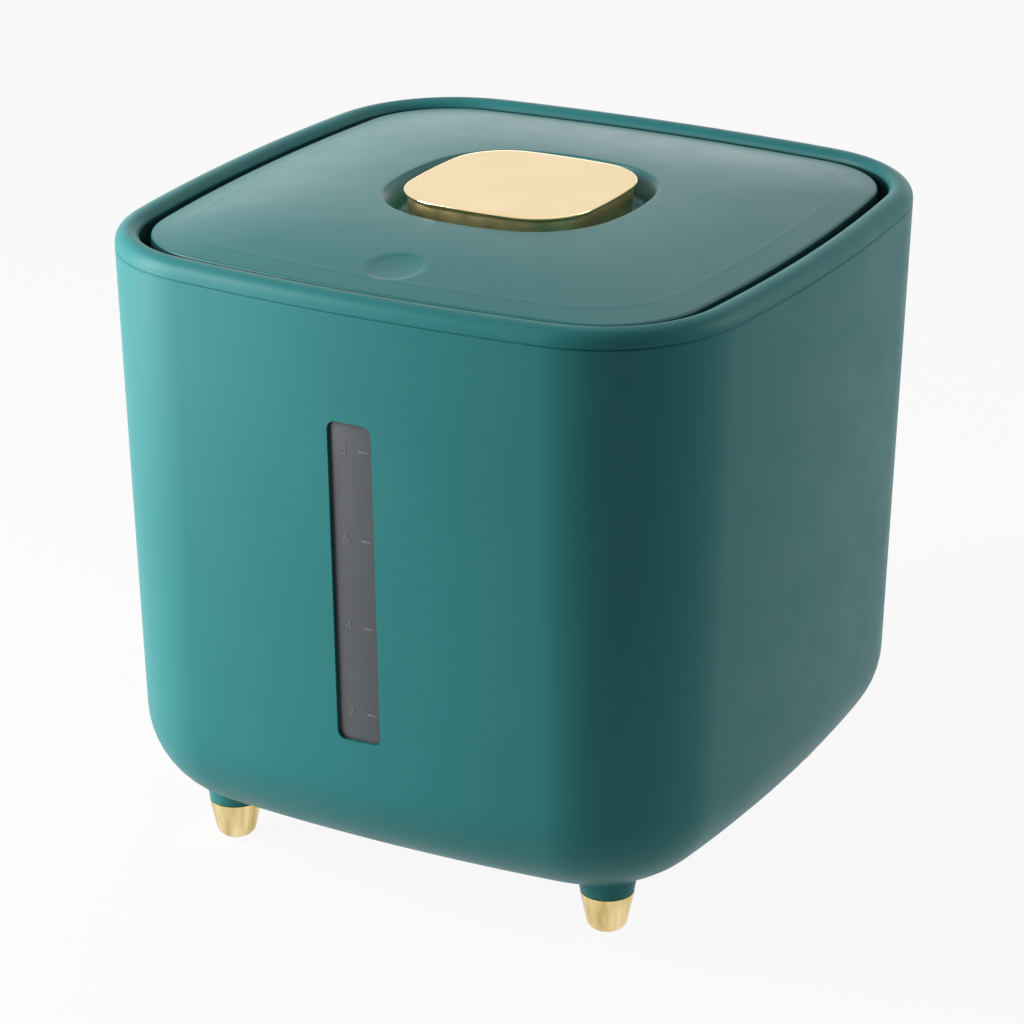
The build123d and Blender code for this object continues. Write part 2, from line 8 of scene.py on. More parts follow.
import bmesh
import bpy
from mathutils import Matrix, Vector


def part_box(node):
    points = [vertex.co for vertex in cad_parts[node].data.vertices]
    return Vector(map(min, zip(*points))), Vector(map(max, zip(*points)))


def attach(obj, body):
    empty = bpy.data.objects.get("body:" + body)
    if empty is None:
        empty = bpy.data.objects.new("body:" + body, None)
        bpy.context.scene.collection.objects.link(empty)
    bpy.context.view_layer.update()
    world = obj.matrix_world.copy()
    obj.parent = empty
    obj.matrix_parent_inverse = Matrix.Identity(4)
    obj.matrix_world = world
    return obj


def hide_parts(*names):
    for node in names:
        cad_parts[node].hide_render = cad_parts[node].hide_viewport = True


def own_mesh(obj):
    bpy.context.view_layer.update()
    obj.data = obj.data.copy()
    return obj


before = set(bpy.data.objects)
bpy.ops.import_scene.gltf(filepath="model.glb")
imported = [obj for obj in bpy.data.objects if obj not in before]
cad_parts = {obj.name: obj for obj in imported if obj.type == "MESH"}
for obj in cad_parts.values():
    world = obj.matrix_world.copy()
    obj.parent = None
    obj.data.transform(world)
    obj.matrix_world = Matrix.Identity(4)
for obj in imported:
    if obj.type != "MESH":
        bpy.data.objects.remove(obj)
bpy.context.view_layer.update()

LOG = logging.getLogger("rice_container")
MM = 0.001

# Names for the types that recur
Piece = bpy.types.Object
Material = bpy.types.Material
Socket = bpy.types.NodeSocket
Place = tuple[float, float]
Triple = tuple[float, float, float]

# How finely pieces are divided and where their shading breaks
SEGMENTS = 512
CORNER_STEPS = 8
PIVOT_STEPS = 10
SMOOTH_ANGLE = math.radians(32.0)
SOFTEN_ANGLE = math.radians(40.0)

# Driving sizes of the container
FOOT_HEIGHT = 19.0 * MM
SEAM_Z = 239.0 * MM
WALL_SLOPE = math.tan(math.radians(1.68))
FLOOR_ROUND = 37.0 * MM
WALL = 2.6 * MM
LID_GAP = 4.2 * MM
HINGE_X = 45.0 * MM
AXIS_Y = 104.4 * MM
AXIS_Z = SEAM_Z - 0.2 * MM
LATCH_Y = -106.9 * MM
WINDOW_WIDTH = 18.0 * MM
WINDOW_HEIGHT = 125.0 * MM
WINDOW_DROP = 40.3 * MM
WINDOW_CORNER = 3.6 * MM
FOOT_X = 81.0 * MM
FOOT_Y = 82.4 * MM
FEET = {
    "foot_front_left": (-FOOT_X, -FOOT_Y),
    "foot_front_right": (FOOT_X, -FOOT_Y),
    "foot_rear_left": (-FOOT_X, FOOT_Y),
    "foot_rear_right": (FOOT_X, FOOT_Y),
}

# Directions, and limits for telling edges and faces apart
ALONG_X = Vector((1, 0, 0))
ALONG_Y = Vector((0, 1, 0))
SAME_WAY = 0.99
WALL_NORMAL = 0.5
GAP_REACH = 0.8 * MM

# Flat left between two rounds that nearly meet
ROUND_SPARE = 0.01 * MM

# Values between which most of a noise pattern lies
NOISE_LOW = 0.3
NOISE_HIGH = 0.7


class Slot(Enum):
    """Material slots of the record."""

    BODY = "body_plastic"
    WINDOW = "window_plastic"
    GOLD = "gold_plate"
    STEEL = "steel"


class Body(Enum):
    """Rigid bodies that pieces ride on."""

    BASE = "base"
    LID = "lid"


@dataclass(frozen=True)
class BowedSquare:
    """A square with gently bowed sides and round corners, all arcs tangent."""

    half: float
    corner: float
    side: float

    def inset(self, depth: float) -> "BowedSquare":
        """Return the parallel outline moved inwards.

        Args:
            depth: Distance to move; negative moves outwards.

        Returns:
            The moved outline.
        """
        return BowedSquare(self.half - depth, self.corner - depth, self.side - depth)

    def towards(self, other: "BowedSquare", share: float) -> "BowedSquare":
        """Return the outline part of the way to another one.

        Args:
            other: The outline at share 1.
            share: How far along, from 0 to 1.

        Returns:
            The outline in between.
        """
        pairs = ((self.half, other.half), (self.corner, other.corner), (self.side, other.side))
        return BowedSquare(*(a + (b - a) * share for a, b in pairs))

    def centre(self) -> float:
        """Return how far along both axes a corner's arc has its centre.

        Returns:
            The distance.
        """
        offset = self.side - self.half
        return (math.sqrt(2 * (self.side - self.corner) ** 2 - offset**2) - offset) / 2

    def reach(self, angle: float) -> float:
        """Return the distance from the middle to the outline.

        Args:
            angle: Direction round the vertical axis.

        Returns:
            The distance.
        """
        fold = abs((angle + math.pi / 4) % (math.pi / 2) - math.pi / 4)
        offset = self.side - self.half
        centre = self.centre()
        stretch = self.side / (self.side - self.corner)
        tangent = math.atan2(centre * stretch, (centre + offset) * stretch - offset)
        across, along = math.sin(fold), math.cos(fold)
        if fold <= tangent:
            return math.sqrt(self.side**2 - (offset * across) ** 2) - offset * along
        middle = centre * (across + along)
        return middle + math.sqrt(self.corner**2 - 2 * centre**2 + middle**2)


@dataclass(frozen=True)
class Disc:
    """A round outline."""

    radius: float

    def reach(self, angle: float) -> float:
        """Return the radius, whatever the direction.

        Args:
            angle: Direction round the vertical axis.

        Returns:
            The radius.
        """
        return self.radius


Station = tuple[BowedSquare | Disc, float]

SEAM_OUTLINE = BowedSquare(128.1 * MM, 57.0 * MM, 750.0 * MM)
LID_OUTLINE = BowedSquare(113.9 * MM, 39.0 * MM, 735.0 * MM)
RECESS_OUTLINE = BowedSquare(48.2 * MM, 35.3 * MM, 95.0 * MM)
GRIP_OUTLINE = BowedSquare(39.0 * MM, 24.0 * MM, 200.0 * MM)
LID_SPAN = LID_OUTLINE.half - RECESS_OUTLINE.half


def quarter(steps: int) -> list[tuple[float, float]]:
    """Go round a quarter turn in even steps.

    Args:
        steps: Number of steps in the quarter.

    Returns:
        One minus the cosine and one minus the sine, from the start to the end.
    """
    turns = [math.pi / 2 * step / steps for step in range(steps + 1)]
    return [(1 - math.cos(turn), 1 - math.sin(turn)) for turn in turns]


def lean(height: float) -> float:
    """Return how far the drafted wall lies inside the seam's outline.

    Args:
        height: Height in the frame.

    Returns:
        The distance.
    """
    return (SEAM_Z - height) * WALL_SLOPE


# Middle of the window slot on the wall's outer face
WINDOW_Z = SEAM_Z - WINDOW_DROP - WINDOW_HEIGHT / 2
WINDOW_MIDDLE = Vector((0, -SEAM_OUTLINE.half + lean(WINDOW_Z), WINDOW_Z))


def clear() -> None:
    """Deselect everything, so that an operator acts on one piece alone."""
    if bpy.context.object and bpy.context.object.mode != "OBJECT":
        bpy.ops.object.mode_set(mode="OBJECT")
    bpy.ops.object.select_all(action="DESELECT")


def pick(piece: Piece) -> None:
    """Make one piece the selected and active one.

    Args:
        piece: The piece to act on next.
    """
    clear()
    piece.select_set(True)
    bpy.context.view_layer.objects.active = piece


def smooth(piece: Piece, angle: float = SMOOTH_ANGLE) -> None:
    """Shade a piece smooth between its sharp edges.

    Args:
        piece: The piece to shade.
        angle: Edges sharper than this stay sharp.
    """
    pick(piece)
    bpy.ops.object.shade_smooth_by_angle(angle=angle)


def put_ring(piece: Piece, station: Station, middle: Place) -> None:
    """Put the selected ring of vertices onto an outline at a height.

    Args:
        piece: Mesh in edit mode whose selected vertices are one ring.
        station: The outline and its height.
        middle: Where the outline's middle stands on the floor plan.
    """
    outline, height = station
    mesh = bmesh.from_edit_mesh(piece.data)
    for vertex in mesh.verts:
        if vertex.select:
            angle = math.atan2(vertex.co.y - middle[1], vertex.co.x - middle[0])
            reach = outline.reach(angle)
            x, y = middle[0] + reach * math.cos(angle), middle[1] + reach * math.sin(angle)
            vertex.co = (x, y, height)
    bmesh.update_edit_mesh(piece.data)


def ring_loft(
    name: str,
    stations: Sequence[Station],
    middle: Place = (0.0, 0.0),
    segments: int = SEGMENTS,
    looped: bool = False,
) -> Piece:
    """Extrude a ring through a row of outlines into a closed form.

    Args:
        name: Name of the new piece.
        stations: Outlines and heights, in order along the section.
        middle: Where the outlines' middle stands on the floor plan.
        segments: Number of vertices in a ring.
        looped: Join the last outline to the first instead of capping both.

    Returns:
        The new piece, smooth by angle.
    """
    clear()
    bpy.ops.mesh.primitive_circle_add(vertices=segments, radius=10 * MM, location=(0, 0, 0))
    piece = bpy.context.object
    piece.name = name
    bpy.ops.object.mode_set(mode="EDIT")
    bpy.ops.mesh.select_mode(type="VERT")
    bpy.ops.mesh.select_all(action="SELECT")
    bpy.ops.transform.translate(value=(middle[0], middle[1], 0))
    put_ring(piece, stations[0], middle)
    for station in stations[1:]:
        bpy.ops.mesh.extrude_region_move()
        put_ring(piece, station, middle)
    if not looped:
        bpy.ops.mesh.edge_face_add()
        bpy.ops.mesh.select_all(action="DESELECT")
    mesh = bmesh.from_edit_mesh(piece.data)
    mesh.verts.ensure_lookup_table()
    for vertex in mesh.verts[:segments]:
        vertex.select = True
    mesh.select_flush(True)
    bmesh.update_edit_mesh(piece.data)
    if looped:
        bpy.ops.mesh.bridge_edge_loops()
    else:
        bpy.ops.mesh.edge_face_add()
    bpy.ops.mesh.select_all(action="SELECT")
    bpy.ops.mesh.normals_make_consistent(inside=False)
    bpy.ops.object.mode_set(mode="OBJECT")
    smooth(piece)
    return piece


def block(name: str, middle: Vector, size: Vector) -> Piece:
    """Add a block of a size at a place, as a start for shaping.

    Args:
        name: Name of the new piece.
        middle: Middle of the block.
        size: Lengths along the three axes.

    Returns:
        The new piece, with its place in its mesh.
    """
    clear()
    bpy.ops.mesh.primitive_cube_add(size=1.0, location=middle)
    piece = bpy.context.object
    piece.name = name
    piece.scale = size
    bpy.ops.object.transform_apply(location=True, rotation=True, scale=True)
    return piece


def bevel_edges(
    piece: Piece, axis: Vector, offset: float, segments: int, heights: Place = (-1.0, 1.0)
) -> None:
    """Round the edges that run along an axis.

    Args:
        piece: The piece to shape.
        axis: Direction of the edges, of length 1.
        offset: Radius of the rounding.
        segments: Steps of the rounding.
        heights: Lowest and highest middle of the edges to round.
    """
    pick(piece)
    bpy.ops.object.mode_set(mode="EDIT")
    bpy.ops.mesh.select_mode(type="EDGE")
    bpy.ops.mesh.select_all(action="DESELECT")
    mesh = bmesh.from_edit_mesh(piece.data)
    for edge in mesh.edges:
        first, second = edge.verts[0].co, edge.verts[1].co
        runs_along = abs((second - first).normalized().dot(axis)) > SAME_WAY
        edge.select = runs_along and heights[0] <= (first.z + second.z) / 2 <= heights[1]
    mesh.select_flush_mode()
    bmesh.update_edit_mesh(piece.data)
    bpy.ops.mesh.bevel(
        offset=offset, offset_type="OFFSET", segments=segments, profile=0.5, affect="EDGES"
    )
    bpy.ops.object.mode_set(mode="OBJECT")


def cut(piece: Piece, tool: Piece) -> None:
    """Cut one piece with another, which is then removed.

    Args:
        piece: The piece that stays.
        tool: The piece whose space is taken away.
    """
    pick(piece)
    modifier = piece.modifiers.new("cut", "BOOLEAN")
    modifier.operation = "DIFFERENCE"
    modifier.solver = "EXACT"
    modifier.object = tool
    bpy.ops.object.modifier_apply(modifier=modifier.name)
    bpy.data.objects.remove(tool, do_unlink=True)


def soften(piece: Piece, width: float, segments: int = 3) -> None:
    """Round the sharp edges of a piece a little and smooth its faces.

    Args:
        piece: The piece to finish.
        width: Radius of the rounding.
        segments: Steps of the rounding.
    """
    pick(piece)
    modifier = piece.modifiers.new("soften", "BEVEL")
    modifier.width = width
    modifier.segments = segments
    modifier.limit_method = "ANGLE"
    modifier.angle_limit = SOFTEN_ANGLE
    bpy.ops.object.modifier_apply(modifier=modifier.name)
    smooth(piece)


def join(main: Piece, others: Iterable[Piece]) -> Piece:
    """Join other pieces into a main one.

    Args:
        main: The piece that keeps its name.
        others: The pieces that become part of it.

    Returns:
        The joined piece.
    """
    pick(main)
    for other in others:
        other.select_set(True)
    bpy.ops.object.join()
    return main


class Web:
    """A short way to write a material's nodes."""

    def __init__(self, name: str) -> None:
        """Start a material with a shader and object coordinates.

        Args:
            name: Name of the material.
        """
        self.material = bpy.data.materials.new(name)
        self.material.use_nodes = True
        self.nodes = self.material.node_tree.nodes
        self.links = self.material.node_tree.links
        self.shader = self.nodes["Principled BSDF"]
        self.place = self.nodes.new("ShaderNodeTexCoord").outputs["Object"]

    def noise(self, scale: float, detail: float = 2.0, stretch: Triple = (1.0, 1.0, 1.0)) -> Socket:
        """Add noise on object coordinates.

        Args:
            scale: Features for each metre.
            detail: Octaves of finer noise.
            stretch: Scale along each axis.

        Returns:
            The noise's value, from 0 to 1.
        """
        mapping = self.nodes.new("ShaderNodeMapping")
        mapping.inputs["Scale"].default_value = stretch
        self.links.new(self.place, mapping.inputs["Vector"])
        texture = self.nodes.new("ShaderNodeTexNoise")
        texture.inputs["Scale"].default_value = scale
        texture.inputs["Detail"].default_value = detail
        self.links.new(mapping.outputs["Vector"], texture.inputs["Vector"])
        return texture.outputs["Fac"]

    def tint(self, value: Socket, first: Triple, second: Triple) -> None:
        """Vary the base colour between two tones.

        Args:
            value: Where the tones lie, from 0 to 1.
            first: Tone at the low end, red, green and blue.
            second: Tone at the high end.
        """
        ramp = self.nodes.new("ShaderNodeValToRGB")
        low, high = ramp.color_ramp.elements
        low.position = NOISE_LOW
        high.position = NOISE_HIGH
        low.color = (*first, 1.0)
        high.color = (*second, 1.0)
        self.links.new(value, ramp.inputs["Fac"])
        self.links.new(ramp.outputs["Color"], self.shader.inputs["Base Color"])

    def rough(self, value: Socket, low: float, high: float) -> None:
        """Vary the roughness between two values.

        Args:
            value: Where the roughness lies, from 0 to 1.
            low: Roughness at the low end.
            high: Roughness at the high end.
        """
        ramp = self.nodes.new("ShaderNodeMapRange")
        ramp.inputs["From Min"].default_value = NOISE_LOW
        ramp.inputs["From Max"].default_value = NOISE_HIGH
        ramp.inputs["To Min"].default_value = low
        ramp.inputs["To Max"].default_value = high
        self.links.new(value, ramp.inputs["Value"])
        self.links.new(ramp.outputs["Result"], self.shader.inputs["Roughness"])

    def relief(self, value: Socket, strength: float, depth: float) -> None:
        """Raise the surface a little by a value.

        Args:
            value: Height pattern, from 0 to 1.
            strength: Share of the full relief.
            depth: Height of the relief.
        """
        bump = self.nodes.new("ShaderNodeBump")
        bump.inputs["Strength"].default_value = strength
        bump.inputs["Distance"].default_value = depth
        self.links.new(value, bump.inputs["Height"])
        self.links.new(bump.outputs["Normal"], self.shader.inputs["Normal"])

    def set(self, name: str, value: float | Sequence[float]) -> None:
        """Give one of the shader's inputs a fixed value.

        Args:
            name: Name of the input.
            value: The value.
        """
        self.shader.inputs[name].default_value = value


@dataclass(frozen=True)
class Finish:
    """What every finish has: two tones and a range of roughness."""

    name: str
    dark: Triple
    light: Triple
    rough_low: float
    rough_high: float


@dataclass(frozen=True)
class MouldedPlastic(Finish):
    """Moulded plastic with a fine skin, faint flow tones and a soft gloss."""

    ior: float = 1.3
    flow: float = 9.0
    gloss: float = 60.0
    grain: float = 800.0
    relief: Place = (0.12, 0.00001)

    def build(self) -> Material:
        """Make the finish.

        Returns:
            The new material.
        """
        web = Web(self.name)
        web.tint(web.noise(self.flow, 4.0), self.dark, self.light)
        web.rough(web.noise(self.gloss, 5.0), self.rough_low, self.rough_high)
        web.relief(web.noise(self.grain), *self.relief)
        web.set("IOR", self.ior)
        return web.material


@dataclass(frozen=True)
class PlatedGold(Finish):
    """Pale polished gold plating with a slight cloudiness; its tones, when fine and stretched upright,
    paint in dark streaks of reflection.
    """

    # Tone noise scale: random tones on the grip; on the foot caps, fine and stretched upright, dark
    # streaks that paint in reflections
    tones: float = 25.0
    upright: float = 1.0
    cloud: float = 160.0
    grain: float = 420.0
    relief: Place = (0.08, 0.00002)

    def build(self) -> Material:
        """Make the finish.

        Returns:
            The new material.
        """
        web = Web(self.name)
        web.tint(web.noise(self.tones, 2.0, (1.0, 1.0, self.upright)), self.dark, self.light)
        web.rough(web.noise(self.cloud, 6.0), self.rough_low, self.rough_high)
        web.relief(web.noise(self.grain), *self.relief)
        web.set("Metallic", 1.0)
        return web.material


@dataclass(frozen=True)
class BrightSteel(Finish):
    """Drawn steel with fine lines along one axis."""

    lines: Triple
    streak: float = 600.0
    relief: Place = (0.1, 0.00002)

    def build(self) -> Material:
        """Make the finish.

        Returns:
            The new material.
        """
        web = Web(self.name)
        streaks = web.noise(self.streak, 4.0, self.lines)
        web.tint(streaks, self.dark, self.light)
        web.rough(streaks, self.rough_low, self.rough_high)
        web.relief(streaks, *self.relief)
        web.set("Metallic", 1.0)
        return web.material


@dataclass(frozen=True)
class SoftSilicone(Finish):
    """Milky seal silicone with a dusty skin."""

    cloud: float = 40.0
    dust: float = 220.0
    grain: float = 900.0
    relief: Place = (0.2, 0.00003)
    glow: float = 0.2
    glow_depth: float = 0.002

    def build(self) -> Material:
        """Make the finish.

        Returns:
            The new material.
        """
        web = Web(self.name)
        web.tint(web.noise(self.cloud, 3.0), self.dark, self.light)
        web.rough(web.noise(self.dust, 4.0), self.rough_low, self.rough_high)
        web.relief(web.noise(self.grain), *self.relief)
        web.set("Subsurface Weight", self.glow)
        web.set("Subsurface Radius", (self.glow_depth, self.glow_depth, self.glow_depth))
        return web.material


def dress(piece: Piece, material: Material) -> None:
    """Give a piece one finish all over.

    Args:
        piece: The piece to dress.
        material: The finish.
    """
    piece.data.materials.clear()
    piece.data.materials.append(material)


def paint_gap_shade(piece: Piece, material: Material, low: float, high: float, outside: float) -> None:
    """Paint shade onto the upright faces of the gap round the lid, with a darker copy of the plastic.

    Args:
        piece: The piece, already dressed.
        material: The darker copy of the plastic that paints the gap's shade.
        low: Lowest height of the gap.
        high: Highest height of the gap.
        outside: How far the faces lie outside the lid's outline.
    """
    piece.data.materials.append(material)
    outline = LID_OUTLINE.inset(-outside)
    for face in piece.data.polygons:
        middle = face.center
        reach = outline.reach(math.atan2(middle.y, middle.x))
        if abs(face.normal.z) < WALL_NORMAL and low < middle.z < high:
            if abs(math.hypot(middle.x, middle.y) - reach) < GAP_REACH:
                face.material_index = 1


def settle(piece: Piece, material: Material, body: Body, slot: Slot, *nodes: str) -> None:
    """Dress a piece, tie it to its body and hide the CAD nodes that it stands for.

    Args:
        piece: The finished piece.
        material: Its main finish.
        body: Rigid body that it moves with.
        slot: Material slot of the record; not used.
        nodes: CAD nodes that it replaces.
    """
    dress(piece, material)
    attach(piece, body.value)
    if nodes:
        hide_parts(*nodes)
    LOG.info("%s: %d faces on %s", piece.name, len(piece.data.polygons), body.value)


@dataclass
class Tub:
    """The tapered body with its floor, foot stubs and window slot."""

    material: Material
    chamfer: float = 0.6 * MM
    round_steps: int = 14
    wall_steps: int = 24
    stub_low: float = 15.7 * MM
    stub_low_radius: float = 10.1 * MM
    stub_radius: float = 10.8 * MM
    stub_edge: float = 0.4 * MM
    stub_neck: float = 0.6 * MM
    stub_flare: float = 0.7 * MM
    stub_sink: float = 1.2 * MM
    stub_follow: float = 1.0 * MM
    stub_segments: int = 64
    slot_depth: float = 14.0 * MM

    def skin(self, inset: float) -> list[Station]:
        """Return one skin of the tub, from its floor up to the seam.

        Args:
            inset: Depth of the skin behind the outer one.

        Returns:
            Outlines and heights from the floor upwards.
        """
        floor = FOOT_HEIGHT + inset
        radius = FLOOR_ROUND - inset
        stations: list[Station] = []
        for rise, fall in quarter(self.round_steps):
            height = floor + radius * rise
            stations.append((SEAM_OUTLINE.inset(inset + lean(height) + radius * fall), height))
        start, end = floor + radius, SEAM_Z - self.chamfer
        for step in range(1, self.wall_steps + 1):
            height = start + (end - start) * step / self.wall_steps
            stations.append((SEAM_OUTLINE.inset(inset + lean(height)), height))
        return stations

    def stub(self, place: Place) -> Piece:
        """Return one foot stub, grown into the round underside.

        Args:
            place: Where the foot stands.

        Returns:
            The new piece.
        """
        levels = [
            (Disc(self.stub_low_radius - self.stub_edge), self.stub_low),
            (Disc(self.stub_low_radius), self.stub_low + self.stub_edge),
            (Disc(self.stub_radius), FOOT_HEIGHT - self.stub_neck),
            (Disc(self.stub_radius + self.stub_flare), FOOT_HEIGHT),
            (Disc(self.stub_radius + 2 * self.stub_flare), FOOT_HEIGHT + self.stub_sink),
        ]
        piece = ring_loft("foot_stub", levels, place, self.stub_segments)
        centre = SEAM_OUTLINE.centre()
        flat = SEAM_OUTLINE.corner - lean(FOOT_HEIGHT) - FLOOR_ROUND
        for vertex in piece.data.vertices:
            if vertex.co.z > FOOT_HEIGHT - self.stub_follow:
                away = [max(abs(along) - centre, 0) for along in vertex.co.xy]
                beyond = min(max(math.hypot(*away) - flat, 0.0), FLOOR_ROUND)
                vertex.co.z += FLOOR_ROUND - math.sqrt(FLOOR_ROUND**2 - beyond**2)
        return piece

    def build(self) -> None:
        """Model and dress the body."""
        outer = self.skin(0.0)
        rim = [(SEAM_OUTLINE.inset(self.chamfer), SEAM_Z), (SEAM_OUTLINE.inset(WALL), SEAM_Z)]
        inner = list(reversed(self.skin(WALL)))
        piece = ring_loft("body_tub", [*outer, *rim, *inner])
        size = Vector((WINDOW_WIDTH, 2 * self.slot_depth, WINDOW_HEIGHT))
        tool = block("slot_tool", WINDOW_MIDDLE, size)
        bevel_edges(tool, ALONG_Y, WINDOW_CORNER, CORNER_STEPS)
        cut(piece, tool)
        join(piece, [self.stub(place) for place in FEET.values()])
        smooth(piece)
        settle(piece, self.material, Body.BASE, Slot.BODY, "body_shell")


@dataclass
class FootCaps:
    """Four gold caps under the stubs."""

    # Gold whose dark upright streaks paint in reflections
    material: Material
    height: float = 15.7 * MM
    top: float = 10.2 * MM
    bottom: float = 7.0 * MM
    rounding: float = 3.5 * MM
    lip: float = 0.5 * MM
    lip_share: float = 0.3
    segments: int = 96

    def build(self) -> None:
        """Model and dress the caps."""
        slope = (self.top - self.bottom) / self.height
        levels: list[Station] = []
        for rise, fall in quarter(CORNER_STEPS):
            height = self.rounding * rise
            levels.append((Disc(self.bottom - self.rounding * fall + slope * height), height))
        near = self.lip * self.lip_share
        levels += [
            (Disc(self.top - self.lip * slope), self.height - self.lip),
            (Disc(self.top - near), self.height - near),
            (Disc(self.top - self.lip), self.height),
        ]
        for name, place in FEET.items():
            piece = ring_loft(name + "_cap", levels, place, self.segments)
            settle(piece, self.material, Body.BASE, Slot.GOLD, name)


@dataclass
class LevelWindow:
    """The smoked pane in the front wall and its raised scale."""

    pane_finish: Material
    mark_finish: Material
    sunk: float = 1.3 * MM
    fit: float = 0.15 * MM
    edge: float = 0.25 * MM
    flange: float = 5.0 * MM
    flange_slack: float = 0.1 * MM
    flange_edge: float = 0.3 * MM
    thickness: float = 2.0 * MM
    mark_count: int = 4
    mark_worth: int = 2
    mark_pitch: float = 34.3 * MM
    mark_first: float = 11.6 * MM
    mark_height: float = 0.8 * MM
    mark_length: float = 4.2 * MM
    mark_margin: float = 1.6 * MM
    mark_edge: float = 0.08 * MM
    digit_x: float = -3.2 * MM
    digit_size: float = 6.0 * MM
    relief: float = 0.12 * MM

    def pane(self) -> Piece:
        """Return the pane with its flange behind the wall.

        Returns:
            The new piece.
        """
        depth = WALL - self.sunk + self.thickness
        back = WINDOW_MIDDLE + Vector((0, self.sunk + depth / 2, 0))
        size = Vector((WINDOW_WIDTH - 2 * self.fit, depth, WINDOW_HEIGHT - 2 * self.fit))
        pane = block("level_pane", back, size)
        bevel_edges(pane, ALONG_Y, WINDOW_CORNER - self.fit, CORNER_STEPS)
        soften(pane, self.edge)
        rim = Vector((2 * self.flange, 0, 2 * self.flange))
        size = Vector((WINDOW_WIDTH, self.thickness - self.flange_slack, WINDOW_HEIGHT)) + rim
        flange = block("flange", WINDOW_MIDDLE + Vector((0, WALL + self.thickness / 2, 0)), size)
        bevel_edges(flange, ALONG_Y, WINDOW_CORNER + self.flange, CORNER_STEPS)
        soften(flange, self.flange_edge)
        return join(pane, [flange])

    def digit(self, text: str, place: Vector) -> Piece:
        """Return one raised number that faces the front.

        Args:
            text: The number.
            place: Middle of the number, on the pane's face.

        Returns:
            The new piece.
        """
        clear()
        bpy.ops.object.text_add(location=(0, 0, 0))
        letters = bpy.context.object.data
        letters.body = text
        letters.size = self.digit_size
        letters.align_x = "CENTER"
        letters.align_y = "CENTER"
        letters.extrude = self.relief
        bpy.ops.object.convert(target="MESH")
        piece = bpy.context.object
        piece.rotation_euler = (math.pi / 2, 0, 0)
        piece.location = place
        bpy.ops.object.transform_apply(location=True, rotation=True, scale=True)
        return piece

    def scale(self) -> Piece:
        """Return the raised level marks and their numbers as one piece.

        Returns:
            The new piece.
        """
        marks: list[Piece] = []
        face = WINDOW_MIDDLE.y + self.sunk
        low = WINDOW_MIDDLE.z - WINDOW_HEIGHT / 2 + self.mark_first
        across = WINDOW_WIDTH / 2 - self.mark_length / 2 - self.mark_margin
        size = Vector((self.mark_length, 2 * self.relief, self.mark_height))
        for step in range(self.mark_count):
            height = low + step * self.mark_pitch
            mark = block("mark", Vector((across, face, height)), size)
            soften(mark, self.mark_edge, 2)
            number = str(self.mark_worth * (step + 1))
            marks += [mark, self.digit(number, Vector((self.digit_x, face, height)))]
        marks[0].name = "level_marks"
        return join(marks[0], marks[1:])

    def build(self) -> None:
        """Model the window, lean it back with the wall and dress it."""
        pane, marks = self.pane(), self.scale()
        for vertex in (*pane.data.vertices, *marks.data.vertices):
            vertex.co.y += (WINDOW_MIDDLE.z - vertex.co.z) * WALL_SLOPE
        settle(pane, self.pane_finish, Body.BASE, Slot.WINDOW, "level_window")
        settle(marks, self.mark_finish, Body.BASE, Slot.WINDOW)


